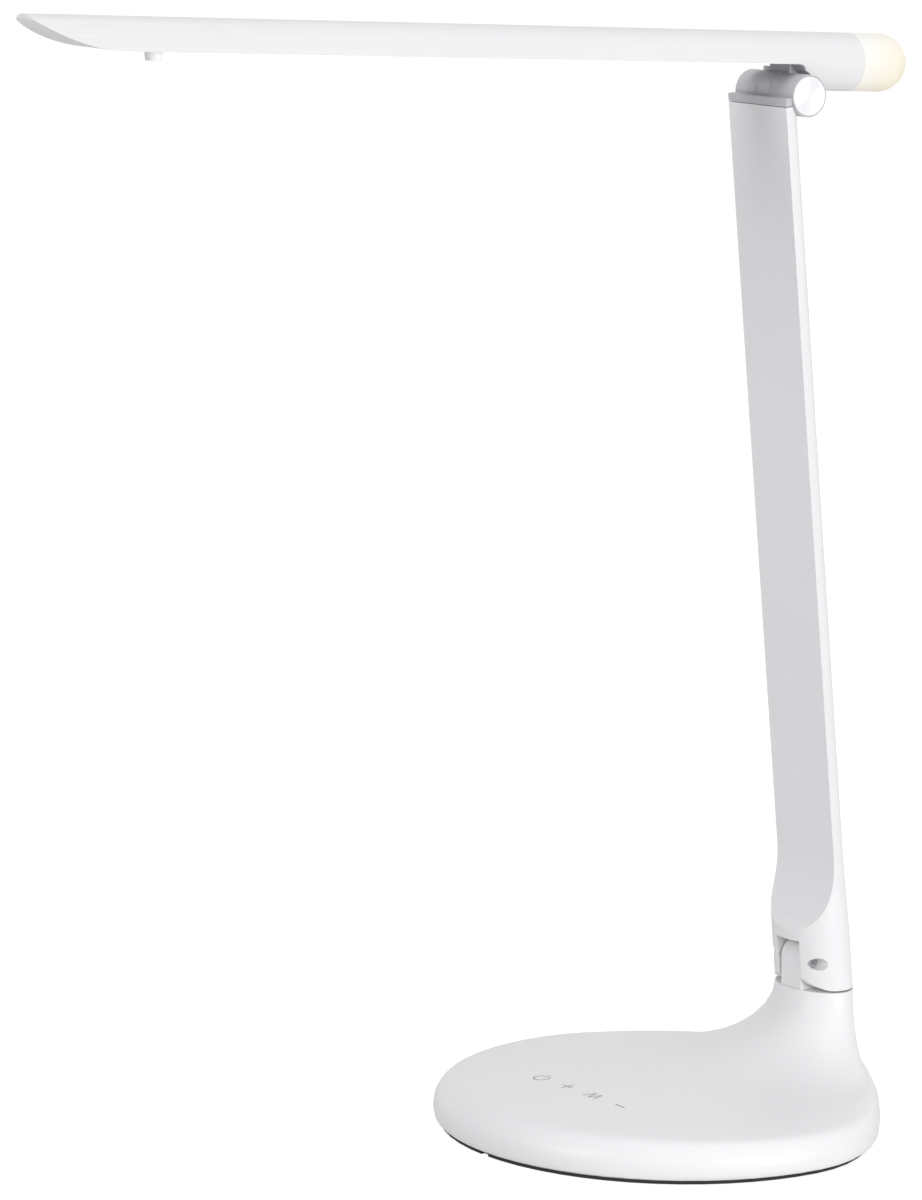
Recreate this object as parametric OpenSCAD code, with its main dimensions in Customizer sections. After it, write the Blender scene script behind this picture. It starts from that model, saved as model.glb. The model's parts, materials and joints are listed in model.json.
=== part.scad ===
// Folding LED desk lamp: weighted base, flat-fronted folding arm and a tube-shaped head with a
// night light at its back end.
// Frame: origin at the middle of the base on the desk, +X to the user's right, +Y to the back and
// +Z up. The head reaches towards the user, along -Y.

/* [Base] */
// Width of the base at its widest
base_w = 174; // [160:1:190]
// Distance from the middle of the base to its front edge
base_front = 83; // [76:0.5:100]
// Distance from the middle of the base to its back edge
base_back = 79; // [78.5:0.5:84]
// Share by which the outline narrows towards the back
rear_pinch = 0.36; // [0:0.01:0.4]
// Height of the top face where it meets the swoop of the neck
dome_h = 14.8; // [14:0.1:18]
// Height of the top face where its edge starts to round over
brow_h = 13.2; // [12:0.1:14]
// Extra height of the top face towards the front
front_rise = 2.7; // [0:0.1:4]
// Height at which the base is widest
waist_h = 5.4; // [5:0.1:8]
// Width of the rounded edge in plan
edge_r = 9.5; // [8:0.5:14]
// Distance by which the wall draws in below its widest line
rim_tuck = 1.4; // [1:0.1:3]
// Reach of the swoop between the neck and the top face
swoop = 50; // [36:1:56]
// Height of the neck's shoulder above the desk
neck_h = 41.2; // [36:0.2:46]
// Wall thickness of the base shell
base_wall = 2.4; // [2:0.1:2.8]
// Thickness of the rubber pad under the base
pad_t = 1.6; // [1.2:0.1:1.8]
// Thickness of the bottom plate
plate_t = 2.4; // [2:0.1:2.6]
// Diameter of the steel weight in the base
ballast_d = 112; // [80:2:114]
// Thickness of the weight
ballast_t = 2.6; // [2:0.1:2.8]

/* [Arm] */
// Distance between the two hinge axes along the arm
arm_len = 312.6; // [240:0.2:340]
// Half width of the arm's flat face
arm_a = 16.4; // [15.5:0.1:17.4]
// Half width of the fork at the arm's foot
fork_a = 17.6; // [17.4:0.1:19]
// Depth of the arm behind its flat face, and of the fork in front of it
arm_b = 11.3; // [11:0.1:12]
// Wall thickness of the arm shell
arm_wall = 1.8; // [1.5:0.1:2]
// Thickness of the front cover
cover_t = 1.2; // [1:0.1:1.3]
// Distance from the fold pin to where the flat face starts to curve forward
scoop_foot = 38.7; // [36:0.1:42]
// Radius of that curve
scoop_r = 38; // [36:1:42]
// Forward lean of the arm at rest, in degrees
lean = 5.3; // [2:0.1:8]
// Thickness of the steel bar inside the arm
spine_t = 2; // [1.5:0.1:2.2]
// Width of the steel bar inside the arm
spine_w = 14; // [8:1:16]

/* [Fold joint at the base] */
// Distance of the fold pin in front of the arm's flat face
pin_ahead = 7.3; // [7:0.1:7.6]
// Height of the fold pin above the neck's shoulder
pin_rise = 10.7; // [10.5:0.1:11.5]
// Radius of the fold pin
pin_r = 1.35; // [1.2:0.05:1.5]
// Radius of the fold pin's head and of its nut
pin_head_r = 2.15; // [2.1:0.05:2.5]
// Width of the slot between the ears
slot_w = 12.8; // [12:0.1:13.6]
// Height of the slot above the fold pin
slot_h = 8; // [7.6:0.1:9]
// Radius of the rounded top of the lug
lug_r = 6.2; // [6:0.1:6.6]
// Thickness of the friction washer on each side of the lug
washer_t = 0.5; // [0.4:0.05:0.8]
// Radius of those washers
washer_r = 2.8; // [2.2:0.1:2.9]
// Rounding of the ears' lower front corner
heel_r = 8.5; // [6:0.5:10]

/* [Tilt joint at the head] */
// Radius of the hinge barrel
barrel_r = 7.4; // [7.2:0.1:7.6]
// Half length of the hinge barrel
barrel_half = 16.3; // [15.6:0.1:17]
// Distance of the barrel's axis behind the arm's flat face
barrel_back = 10.6; // [10.4:0.1:11]
// Distance of the seam between the knuckles from the middle
knuckle_x = 3; // [1:0.1:4]
// Thickness of the friction washer in that seam
hinge_washer_t = 0.5; // [0.3:0.05:0.8]
// Radius of the hinge bolt
bolt_r = 2.5; // [2:0.1:2.8]
// Radius of the bolt's head and its nut
bolt_head_r = 4.3; // [3.8:0.1:4.6]
// Radius of the discs that close the barrel's ends
disc_r = 6.85; // [6.4:0.05:6.9]
// Thickness of those discs
disc_t = 1.8; // [1.4:0.1:2]
// Height of the cap on the arm's top
cap_h = 2.8; // [2.4:0.1:3.4]
// Distance of the seam under the cap below the barrel's axis
cap_drop = 2.4; // [2:0.1:3]

/* [Head] */
// Diameter of the head's tube
tube_d = 20.6; // [20.2:0.1:21]
// Wall thickness of the tube
tube_wall = 1.5; // [1.2:0.1:1.7]
// Reach of the head from the barrel's axis to its tip
head_len = 309.4; // [240:0.2:330]
// Length of the tube behind the barrel's axis
head_rear = 29; // [26:0.5:33]
// Height of the tube's axis above the barrel's axis
head_rise = 11.3; // [11.1:0.1:11.8]
// Depth of the tube's flat underside below its axis
under_drop = 0.6; // [0:0.1:0.7]
// Upward tilt of the head at rest, in degrees
tilt = 3.5; // [1:0.1:8]
// Length of the scooped tip
tip_len = 34; // [28:0.5:45]
// Height of the tip's blunt end
tip_lip = 1.4; // [1:0.1:3.4]
// Thickness of the diffuser
diffuser_t = 1.6; // [1.2:0.1:2]
// Number of light-emitting diodes in the row
led_count = 24; // [12:1:40]
// Straight length of the night light's cap
night_len = 13.5; // [8:0.5:18]
// Wall thickness of that cap
night_wall = 1.6; // [1.2:0.1:2]
// Height of the soft bumper under the head
bumper_h = 3.4; // [3:0.1:4.4]

/* [Power] */
// Radius of the opening for the plug at the back of the base
inlet_r = 4.2; // [3.6:0.1:4.4]
// Height of the plug's axis above the desk
inlet_z = 11; // [10.8:0.1:12]
// Radius of the socket's body
jack_r = 5.2; // [4.8:0.1:5.3]
// Radius of the lamp's inner leads
wire_r = 0.9; // [0.6:0.1:1]

/* [Hidden] */
$fn = 96;

// Clearances: of a pin turning in its bore, of a seated piece, and between faces that move apart
run_fit = 0.05;
seat = 0.1;
gap = 0.4;

// The fold pin, the neck below it, and the lug around it
pin_y = 57.2;
pin_z = neck_h + pin_rise;
neck_y = pin_y + pin_ahead + pin_rise * tan(lean);
heel_gap = 0.8;
heel_front = pin_ahead - arm_b + heel_r;
heel_mid = heel_gap - pin_rise + heel_r;
lug_w = slot_w - 2 * (washer_t + seat);
lug_ahead = 2.3;
lug_back = 2 * lug_r - lug_ahead;
tongue_half = 4;
tongue_y = [2.6, 9.6];
stake_t = 2;
ear_in = slot_w / 2 + 1.25;
pin_head_t = 1.6;
hex_r = 1.1;

// Inside the base: plate, weight, board, posts and screws
plate_top = pad_t + plate_t;
board_z = 8.6;
board_t = 1.6;
board_size = [78, 26];
spring_h = 0.65 * (dome_h + front_rise) + 0.35 * (brow_h + 0.8 * front_rise) - base_wall
           - board_z - board_t - 0.6;
board_mid = [0, -39];
icon_pitch = 15.6;
icon_y = -39.2;
base_posts = [[-53, -38], [53, -38], [-50, 36], [50, 36]];
board_posts = [[-34, -32], [34, -32], [-34, -47], [34, -47]];
screw_deep = 8;
post_r = 4;
board_post_r = 2.6;
screw_r = 1.2;
screw_head_r = 2.4;
screw_head_t = 1.2;
small_screw_r = 0.8;
small_head_r = 1.7;
small_head_t = 1.1;

// The socket behind the plug's opening
jack_mouth = 70;
jack_len = 12;
jack_seat = 6;
jack_bore_r = 2.8;
jack_bore = 9;
contact_r = 1;

// The leads: up through the neck and along the arm, beside its middle
wire_x = 4.4;
wire_y = 13.2;
wire_low = 10.2;
wire_high = 19;
wire_turn = 50;
wire_hole_r = wire_r + 0.8;

// The arm's rear wall at the slot, its bosses and its top
slot_back = pin_ahead + arm_b - 2.3;
seam_u = arm_len - cap_drop;
seam_gap = 0.25;
plug_len = 11;
boss_u = [22, arm_len - 18.6];
cover_foot = scoop_foot - sqrt(pow(scoop_r, 2) - pow(scoop_r - 0.73 * arm_b, 2));
hollow_foot = cover_foot + 1.3;
boss_half = 3;
boss_w = 5;
spine_ahead = 2.7;
spine_ends = [hollow_foot + 0.6, arm_len - 14.6];
arm_head_t = 1.2;

// The tube, its scooped tip and the diffuser's place
tube_r = tube_d / 2;
flat_z = head_rise - under_drop;
bore_r = tube_r - tube_wall;
scoop_start = head_len - tip_len;
tip_rise = tube_r + under_drop - tip_lip;
tip_round = 16;
tip_r = (tip_len * tip_len + tip_rise * tip_rise) / (2 * tip_rise);
notch_r = barrel_r + 1.6;
notch_end = 3;
near_in = knuckle_x + hinge_washer_t / 2 + run_fit;
far_in = knuckle_x - hinge_washer_t / 2 - run_fit;
disc_in = barrel_half - disc_t;
bolt_head_t = 2.2;
bolt_in = disc_in - seat - bolt_head_t - seat;
diffuser_start = 14;
diffuser_end = scoop_start - 21.2;
bumper_s = scoop_start - 15.8;
bumper_r = 3.2;
bumper_end_r = 2.6;
peg_r = 1.5;
peg_len = 2.4;
board_lift = 3.6;
led_board_t = 1.4;
rail_t = 1.2;
strip_t = 2;
strip_half = 5;
led_size = 3;
led_t = 0.6;
plug_end = head_rear - 7;
web_x = -12;
web_front = 1.2;
web_back = 8.5;
grub_r = 1.3;
grub_x = 5;
grub_s = 8;
night_board_t = 1.2;
lip_wall = 1.5;
lead_z = head_rise + board_lift + led_board_t / 2;

white = [0.95, 0.95, 0.94];
dark = [0.10, 0.10, 0.11];
steel = [0.62, 0.63, 0.65];
copper = [0.72, 0.45, 0.25];
board_green = [0.10, 0.40, 0.24];
milky = [0.93, 0.94, 0.95];
warm = [1.00, 0.88, 0.62];

// ---- helpers ----

// A flat shape drawn in Y and Z, spread along X over the width w
module along_x(w) {
    rotate([90, 0, 90]) linear_extrude(w, center = true) children();
}

// A round bar along X from x0 to x1
module x_bar(r, x0, x1) {
    translate([x0, 0, 0]) rotate([0, 90, 0]) cylinder(r = r, h = x1 - x0);
}

// A round bar along Y from y0 to y1
module y_bar(r, y0, y1) {
    translate([0, y0, 0]) rotate([-90, 0, 0]) cylinder(r = r, h = y1 - y0);
}

// A box given by two corners
module box(low, high) {
    translate(low) cube(high - low);
}

// A lead through a list of points, with round corners
module lead(points) {
    for (i = [0 : len(points) - 2]) {
        step = points[i + 1] - points[i];
        translate(points[i]) rotate([0, acos(step[2] / norm(step)), atan2(step[1], step[0])])
            cylinder(r = wire_r, h = norm(step), $fn = 24);
        if (i > 0) translate(points[i]) sphere(r = wire_r, $fn = 24);
    }
}

// A screw standing on its head's outer face, with its shank upwards
module screw(r, head_r, head_t, len) {
    difference() {
        union() {
            cylinder(r = head_r, h = head_t, $fn = 48);
            cylinder(r = r, h = len, $fn = 48);
        }
        for (turn = [0, 90]) rotate(turn) box([-head_r * 0.7, -0.2, -1], [head_r * 0.7, 0.2, head_t / 2]);
    }
}

// A closed skin through rings of points, each counterclockwise seen from above, lowest ring first
module loft(rings) {
    n = len(rings[0]);
    last = (len(rings) - 1) * n;
    sides = [for (k = [0 : len(rings) - 2], i = [0 : n - 1])
             let (j = (i + 1) % n, a = k * n, b = a + n)
             each [[a + i, b + i, b + j], [a + i, b + j, a + j]]];
    floor_face = [for (i = [0 : n - 1]) i];
    top_face = [for (i = [n - 1 : -1 : 0]) last + i];
    polyhedron([for (ring = rings) each ring], concat([floor_face], sides, [top_face]));
}

function smooth(k) = let (c = max(0, min(1, k))) c * c * (3 - 2 * c);

// The arm's own frame: origin on the fold pin's axis, +Z along the arm, flat face at y = pin_ahead
module in_arm() {
    translate([0, pin_y, pin_z]) rotate([lean, 0, 0]) children();
}

// The barrel's axis in the arm's frame
module at_barrel() {
    translate([0, pin_ahead + barrel_back, arm_len]) children();
}

// The head's own frame: origin on the barrel's axis, the head reaching along -Y
module in_head() {
    in_arm() at_barrel() rotate([-lean - tilt, 0, 0]) children();
}

// ---- base ----

skin_n = 60;

// The edge of the neck and the edge of the base in the direction t, counted from the front
function neck_edge(t, inset) = [(fork_a - inset) * sin(t), neck_y - (arm_b - inset) * cos(t)];
function rim_edge(t, inset) =
    let (c = cos(t), rear = max(0, -c))
    [(base_w / 2 - inset) * sin(t) * (1 - rear_pinch * rear * rear),
     -((c > 0 ? base_front : base_back) - inset) * c];

// How much a direction faces the front, from 1 at the front down to almost 0 behind the sides
function frontness(t) = (cos(t) + sqrt(pow(cos(t), 2) + 0.04)) / 2;

// A point of the base's skin in the direction t: stage 0 is the swoop down from the neck, 1 the top
// face, 2 the rounded edge and 3 the wall below it; k runs from 0 to 1 along each
function skin_point(t, inset, stage, k) =
    let (a = neck_edge(t, inset),
         b = rim_edge(t, inset),
         way = norm(b - a),
         s1 = min(swoop, 0.6 * way),
         s3 = way - min(edge_r, 0.35 * way),
         z0 = neck_h - inset,
         z1 = dome_h + front_rise * frontness(t) - inset,
         z2 = brow_h + 0.8 * front_rise * frontness(t) - inset,
         tuck = min(rim_tuck, 0.3 * way),
         q = 90 * k,
         at = stage == 0 ? [s1 * (1 - cos(q)), z0 - (z0 - z1) * sin(q)]
            : stage == 1 ? [s1 + (s3 - s1) * k, z1 - (z1 - z2) * k * k]
            : stage == 2 ? [s3 + (way - s3) * sin(q), waist_h + (z2 - waist_h) * cos(q)]
            : [way - tuck * (1 - cos(q)), waist_h - (waist_h - pad_t) * sin(q)],
         p = a + (b - a) * at[0] / way)
    [p[0], p[1], at[1]];

function skin_ring(n, inset, stage, k) = [for (i = [0 : n - 1]) skin_point(360 * i / n, inset, stage, k)];

module base_solid() {
    loft([for (i = [3 : -1 : 1]) skin_ring(skin_n, 0, 3, i / 3),
          for (i = [6 : -1 : 1]) skin_ring(skin_n, 0, 2, i / 6),
          for (i = [5 : -1 : 1]) skin_ring(skin_n, 0, 1, i / 5),
          for (i = [8 : -1 : 0]) skin_ring(skin_n, 0, 0, i / 8)]);
}

module base_hollow() {
    loft([[for (p = skin_ring(skin_n, base_wall, 3, 1)) [p[0], p[1], 0]],
          for (i = [2 : -1 : 1]) skin_ring(skin_n, base_wall, 3, i / 2),
          for (i = [4 : -1 : 1]) skin_ring(skin_n, base_wall, 2, i / 4),
          for (i = [3 : -1 : 1]) skin_ring(skin_n, base_wall, 1, i / 3),
          for (i = [5 : -1 : 0]) skin_ring(skin_n, base_wall, 0, i / 5)]);
}

// The outline of the base's underside, drawn in by inset
module base_outline(inset) {
    polygon([for (i = [0 : skin_n - 1]) rim_edge(360 * i / skin_n, inset)]);
}

// The lug that stands on the neck between the arm's ears. Its tongue goes through the neck's roof and
// is staked over below.
module fold_lug() {
    color(white) translate([0, pin_y, pin_z]) difference() {
        union() {
            translate([0, lug_r - lug_ahead, 0]) x_bar(lug_r, -lug_w / 2, lug_w / 2);
            box([-lug_w / 2, -lug_ahead, -pin_rise], [lug_w / 2, lug_back, 0]);
            box([-tongue_half, tongue_y[0], -pin_rise - base_wall - 1], [tongue_half, tongue_y[1], 0]);
            box([-lug_w / 2 - 1.6, tongue_y[0] - 0.4, -pin_rise - base_wall - stake_t],
                [lug_w / 2 + 1.6, tongue_y[1] + 0.4, -pin_rise - base_wall]);
        }
        x_bar(pin_r + run_fit, -slot_w, slot_w);
    }
}

// What stays standing inside the base: the posts and the socket's holder
module base_inside() {
    for (p = base_posts) translate([p[0], p[1], plate_top]) cylinder(r = post_r, h = neck_h);
    for (p = board_posts) translate([p[0], p[1], board_z + board_t]) cylinder(r = board_post_r, h = neck_h);
    translate([0, 0, inlet_z]) y_bar(jack_r + 1.5, jack_mouth - jack_seat, base_back + 5);
}

module base_shell() {
    color(white) difference() {
        base_solid();
        difference() {
            base_hollow();
            base_inside();
        }
        translate([0, pin_y, neck_h]) box([-tongue_half - seat, tongue_y[0] - seat, -2 * base_wall],
                                          [tongue_half + seat, tongue_y[1] + seat, base_wall]);
        for (p = base_posts) translate([p[0], p[1], 0]) cylinder(r = screw_r, h = pad_t + screw_deep + 1);
        for (p = board_posts) translate([p[0], p[1], 0]) cylinder(r = small_screw_r, h = board_z + board_t + 2);
        translate([0, 0, inlet_z]) {
            y_bar(inlet_r, jack_mouth - 1, base_back + 5);
            y_bar(jack_r + seat, jack_mouth - jack_seat - 1, jack_mouth);
        }
        translate([wire_x, pin_y + wire_y, neck_h - 2 * base_wall]) cylinder(r = wire_hole_r, h = 3 * base_wall);
    }
}

module base_plate() {
    color(dark) difference() {
        translate([0, 0, pad_t]) linear_extrude(plate_t) base_outline(base_wall + seat + rim_tuck);
        for (p = base_posts) translate([p[0], p[1], 0]) {
            cylinder(r = screw_r + seat, h = plate_top + 1);
            cylinder(r = screw_head_r + seat, h = pad_t + screw_head_t);
        }
    }
}

module foot_pad() {
    color(dark) difference() {
        linear_extrude(pad_t) base_outline(rim_tuck + 0.8);
        translate([0, rim_tuck - base_front, -1]) box([-2, -6, 0], [2, 2.5, pad_t + 2]);
    }
}

module ballast() {
    color(steel) translate([0, 0, plate_top]) cylinder(d = ballast_d, h = ballast_t);
}

module touch_board() {
    color(board_green) difference() {
        translate([board_mid[0], board_mid[1], board_z]) linear_extrude(board_t) square(board_size, center = true);
        for (p = board_posts) translate([p[0], p[1], 0]) cylinder(r = small_screw_r + seat, h = 2 * board_z);
    }
}

module touch_springs() {
    color(steel) for (i = [-1.5 : 1.5]) translate([i * icon_pitch, icon_y, board_z + board_t]) difference() {
        cylinder(r = 3, h = spring_h);
        translate([0, 0, -1]) cylinder(r = 2.4, h = spring_h + 2);
    }
}

module board_screws() {
    color(steel) for (p = board_posts) translate([p[0], p[1], board_z - small_head_t])
        screw(small_screw_r, small_head_r, small_head_t, small_head_t + board_t + 2);
}

module base_screws() {
    color(steel) for (p = base_posts) translate([p[0], p[1], pad_t])
        screw(screw_r, screw_head_r, screw_head_t, screw_deep);
}

module power_jack() {
    color(dark) translate([0, 0, inlet_z]) difference() {
        y_bar(jack_r, jack_mouth - jack_len, jack_mouth);
        y_bar(jack_bore_r, jack_mouth - jack_bore, jack_mouth + 1);
        y_bar(contact_r, jack_mouth - jack_len + 1, jack_mouth);
    }
}

module jack_contact() {
    color(copper) translate([0, 0, inlet_z]) y_bar(contact_r, jack_mouth - jack_len + 1, jack_mouth - 3);
}

module base_wire() {
    top = neck_h + 1.4;
    color(dark) lead([[wire_x, board_mid[1] + board_size[1] / 2 - 2, wire_low + wire_r],
                      [wire_x, wire_turn, wire_low + wire_r],
                      [wire_x, wire_turn, wire_high],
                      [wire_x, pin_y + wire_y, wire_high],
                      [wire_x, pin_y + wire_y, top]]);
}

// ---- arm ----

function arm_half(u) = fork_a + (arm_a - fork_a) * smooth((u - 6) / (scoop_foot - 6));

// The arm's full oval outline at the distance u along it
function arm_ring(u) = [for (i = [0 : 47]) let (t = 7.5 * i)
                        [arm_half(u) * sin(t), pin_ahead - arm_b * cos(t), u]];

// The flat-fronted outline of the arm, drawn in by inset
module arm_outline(inset) {
    polygon([for (i = [0 : 24]) let (t = 90 + 7.5 * i)
             [(arm_a - inset) * sin(t), pin_ahead - (arm_b - inset) * cos(t)]]);
}

// Everything in front of the flat face and of the curve at its foot, moved back by t
module front_space(t) {
    translate([0, pin_ahead + t, 0]) {
        box([-40, -60, scoop_foot], [40, 0, arm_len + 60]);
        translate([0, -scoop_r - t, scoop_foot]) x_bar(scoop_r + t, -40, 40);
    }
}

// The oval arm with its foot cut level and its lower front corner rounded
module arm_solid() {
    difference() {
        loft([for (u = [-14, 6, 10, 14, 18, 22, 26, 30, 34, scoop_foot, seam_u - seam_gap]) arm_ring(u)]);
        rotate([-lean, 0, 0]) {
            box([-40, -40, -40], [40, 40, heel_gap - pin_rise]);
            difference() {
                box([-40, -40, -40], [40, heel_front, heel_mid]);
                translate([0, heel_front, heel_mid]) x_bar(heel_r, -41, 41);
            }
        }
    }
}

// The room under the cover, and the arm's hollow around the bar's bosses
module cover_room() {
    intersection() {
        front_space(cover_t);
        box([-40, -60, cover_foot], [40, 60, arm_len + 60]);
    }
}

module arm_hollow() {
    difference() {
        loft([for (u = [hollow_foot, 20, 26, 32, scoop_foot, seam_u + 1])
              [for (i = [0 : 47]) let (t = 7.5 * i)
               [(arm_half(u) - arm_wall) * sin(t), pin_ahead - (arm_b - arm_wall) * cos(t), u]]]);
        for (u = boss_u) box([-boss_w / 2, pin_ahead + spine_ahead + spine_t, u - boss_half],
                             [boss_w / 2, pin_ahead + arm_b, u + boss_half]);
    }
}

// Room for both knuckles of the barrel
module barrel_room() {
    at_barrel() {
        x_bar(barrel_r + gap, -40, near_in);
        x_bar(barrel_r + seat, near_in - 0.1, 40);
    }
}

module arm_shell() {
    color(white) in_arm() difference() {
        arm_solid();
        front_space(0);
        cover_room();
        arm_hollow();
        barrel_room();
        box([-slot_w / 2, -40, -40], [slot_w / 2, slot_back, slot_h]);
        x_bar(pin_r + run_fit, -40, 40);
        for (side = [0, 1]) mirror([side, 0, 0]) x_bar(pin_head_r + seat, ear_in, 40);
        translate([wire_x, wire_y, slot_h - 1]) cylinder(r = wire_hole_r, h = hollow_foot - slot_h + 2);
        for (u = boss_u) translate([0, pin_ahead, u]) y_bar(small_screw_r, 0, arm_b - arm_wall);
    }
}

module arm_cover() {
    color(white) in_arm() difference() {
        intersection() {
            arm_solid();
            cover_room();
        }
        front_space(0);
    }
}

module arm_spine() {
    color(steel) in_arm() difference() {
        box([-spine_w / 2, pin_ahead + spine_ahead, spine_ends[0]],
            [spine_w / 2, pin_ahead + spine_ahead + spine_t, spine_ends[1]]);
        for (u = boss_u) translate([0, pin_ahead, u]) y_bar(small_screw_r + seat, 0, arm_b);
    }
}

module arm_screws() {
    len = small_head_t + spine_t + 3;
    color(steel) in_arm() for (u = boss_u) translate([0, pin_ahead + spine_ahead - small_head_t, u])
        rotate([-90, 0, 0]) screw(small_screw_r, small_head_r, small_head_t, len);
}

module arm_cap() {
    color(white) in_arm() difference() {
        union() {
            difference() {
                union() {
                    translate([0, 0, seam_u]) linear_extrude(cap_h) arm_outline(0);
                    intersection() {
                        translate([0, 0, seam_u - plug_len]) linear_extrude(plug_len + 1)
                            arm_outline(arm_wall + seat);
                        box([-40, pin_ahead + cover_t + seat, 0], [40, 40, arm_len]);
                    }
                }
                at_barrel() x_bar(barrel_r + gap, -40, near_in);
            }
            at_barrel() x_bar(barrel_r, near_in, barrel_half);
        }
        at_barrel() {
            x_bar(bolt_r + seat / 2, 0, 40);
            x_bar(bolt_head_r + seat, bolt_in, 40);
            x_bar(disc_r + seat, disc_in, 40);
        }
        translate([wire_x, wire_y, seam_u - plug_len - 1]) cylinder(r = wire_hole_r, h = plug_len - 3);
    }
}

module arm_wire() {
    color(dark) in_arm() lead([[wire_x, wire_y, -4], [wire_x, wire_y, seam_u - 6]]);
}

// ---- fold joint ----

module fold_pin() {
    end = ear_in + pin_head_t;
    color(steel) in_arm() difference() {
        union() {
            x_bar(pin_r, -end, end - 0.5);
            x_bar(pin_head_r, ear_in, end);
        }
        translate([end - 0.9, 0, 0]) rotate([0, 90, 0]) cylinder(r = hex_r, h = 2, $fn = 6);
    }
}

module fold_nut() {
    color(steel) in_arm() difference() {
        translate([-ear_in - pin_head_t, 0, 0]) rotate([0, 90, 0])
            cylinder(r = pin_head_r, h = pin_head_t, $fn = 6);
        x_bar(pin_r, -40, 0);
    }
}

module fold_washers() {
    inner = lug_w / 2 + run_fit;
    color(steel) in_arm() for (side = [0, 1]) mirror([side, 0, 0]) difference() {
        x_bar(washer_r, inner, inner + washer_t);
        x_bar(pin_r + run_fit, 0, slot_w);
    }
}

// ---- tilt joint ----

module hinge_bolt() {
    color(steel) in_arm() at_barrel() difference() {
        union() {
            x_bar(bolt_r, -bolt_in - bolt_head_t - seat, bolt_in + 1);
            x_bar(bolt_head_r, bolt_in, bolt_in + bolt_head_t);
        }
        translate([bolt_in + bolt_head_t - 1.2, 0, 0]) rotate([0, 90, 0]) cylinder(r = 2, h = 2, $fn = 6);
    }
}

module hinge_nut() {
    color(steel) in_arm() at_barrel() difference() {
        translate([-bolt_in - bolt_head_t - seat, 0, 0]) rotate([0, 90, 0])
            cylinder(r = bolt_head_r, h = bolt_head_t, $fn = 6);
        x_bar(bolt_r, -40, 0);
    }
}

module hinge_washer() {
    color(white) in_arm() at_barrel() difference() {
        x_bar(barrel_r - 0.2, far_in + run_fit, near_in - run_fit);
        x_bar(bolt_r + seat / 2, 0, 10);
    }
}

module hinge_disc() {
    color(steel) in_arm() at_barrel() x_bar(disc_r, disc_in, barrel_half);
}

module far_disc() {
    color(steel) in_head() x_bar(disc_r, -barrel_half, -disc_in);
}

module head_hinge() {
    color(white) in_head() difference() {
        union() {
            difference() {
                translate([0, 0, head_rise]) y_bar(bore_r - seat, seat - diffuser_start, plug_end);
                under_space();
                x_bar(notch_r, -40, 40);
            }
            intersection() {
                box([web_x, web_front, 0], [far_in, web_back, head_rise + 2]);
                union() {
                    translate([0, 0, head_rise]) y_bar(bore_r - seat, web_front, web_back);
                    x_bar(notch_r, web_x, far_in);
                }
            }
            x_bar(barrel_r, -barrel_half, far_in);
        }
        x_bar(bolt_r + run_fit, -40, 40);
        x_bar(bolt_head_r + gap, -40, -bolt_in);
        x_bar(disc_r + seat, -40, -disc_in);
        translate([0, 0, lead_z]) y_bar(wire_hole_r, -40, 40);
        for (side = [-1, 1]) translate([side * grub_x, -grub_s, 0]) cylinder(r = grub_r, h = 2 * head_rise);
    }
}

module hinge_grubs() {
    top = sqrt(pow(bore_r, 2) - pow(grub_x + grub_r, 2)) - seat;
    color(steel) in_head() for (side = [-1, 1]) translate([side * grub_x, -grub_s, head_rise + 0.6])
        difference() {
            cylinder(r = grub_r, h = top - 0.6);
            translate([0, 0, -1]) cylinder(r = 0.7, h = 2.4, $fn = 6);
        }
}

// ---- head ----

// The space below the head's flat underside, with its rounded end behind the barrel
module under_space() {
    box([-40, -head_len - 40, -80], [40, 0, flat_z]);
    box([-40, -head_len - 40, -80], [40, notch_end, flat_z - notch_end]);
    translate([0, 0, flat_z - notch_end]) x_bar(notch_end, -40, 40);
}

module head_shell() {
    color(white) in_head() difference() {
        union() {
            translate([0, 0, head_rise]) y_bar(tube_r, -scoop_start, head_rear);
            intersection() {
                translate([0, 0, head_rise]) y_bar(tube_r, -head_len, -scoop_start + 1);
                translate([0, -scoop_start, flat_z + tip_r]) x_bar(tip_r, -40, 40);
                translate([0, tip_round - head_len, 0]) union() {
                    cylinder(r = tip_round, h = 40);
                    box([-40, 0, 0], [40, head_len, 40]);
                }
            }
        }
        difference() {
            translate([0, 0, head_rise]) y_bar(bore_r, -diffuser_end, head_rear + 1);
            for (side = [0, 1]) mirror([side, 0, 0])
                box([strip_half - 0.6, -diffuser_end - 1, head_rise + board_lift - seat - rail_t],
                    [tube_r, -diffuser_start - 2, head_rise + board_lift - seat]);
        }
        under_space();
        x_bar(notch_r, -40, 40);
        translate([0, -bumper_s, 0]) cylinder(r = peg_r, h = flat_z + peg_len + 0.2);
    }
}

module heat_strip() {
    color(steel) in_head()
        box([-strip_half, 1 - diffuser_end, head_rise + board_lift + led_board_t],
            [strip_half, -diffuser_start - 0.4, head_rise + board_lift + led_board_t + strip_t]);
}

module led_board() {
    color(board_green) in_head()
        box([-strip_half, 1 - diffuser_end, head_rise + board_lift],
            [strip_half, -diffuser_start - 0.4, head_rise + board_lift + led_board_t]);
}

module led_chips() {
    first = diffuser_start + 6;
    last = diffuser_end - 6;
    color(warm) in_head() for (i = [0 : led_count - 1])
        translate([0, -first - (last - first) * i / (led_count - 1), head_rise + board_lift - led_t / 2])
            cube([led_size, led_size, led_t], center = true);
}

module diffuser() {
    color(milky) in_head() intersection() {
        translate([0, 0, head_rise]) y_bar(bore_r - seat / 2, seat - diffuser_end, -diffuser_start);
        box([-40, -head_len, flat_z], [40, 0, flat_z + diffuser_t]);
    }
}

module bumper() {
    color(milky) in_head() translate([0, -bumper_s, flat_z]) {
        translate([0, 0, -bumper_h]) cylinder(r1 = bumper_end_r, r2 = bumper_r, h = bumper_h);
        cylinder(r = peg_r, h = peg_len);
    }
}

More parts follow.
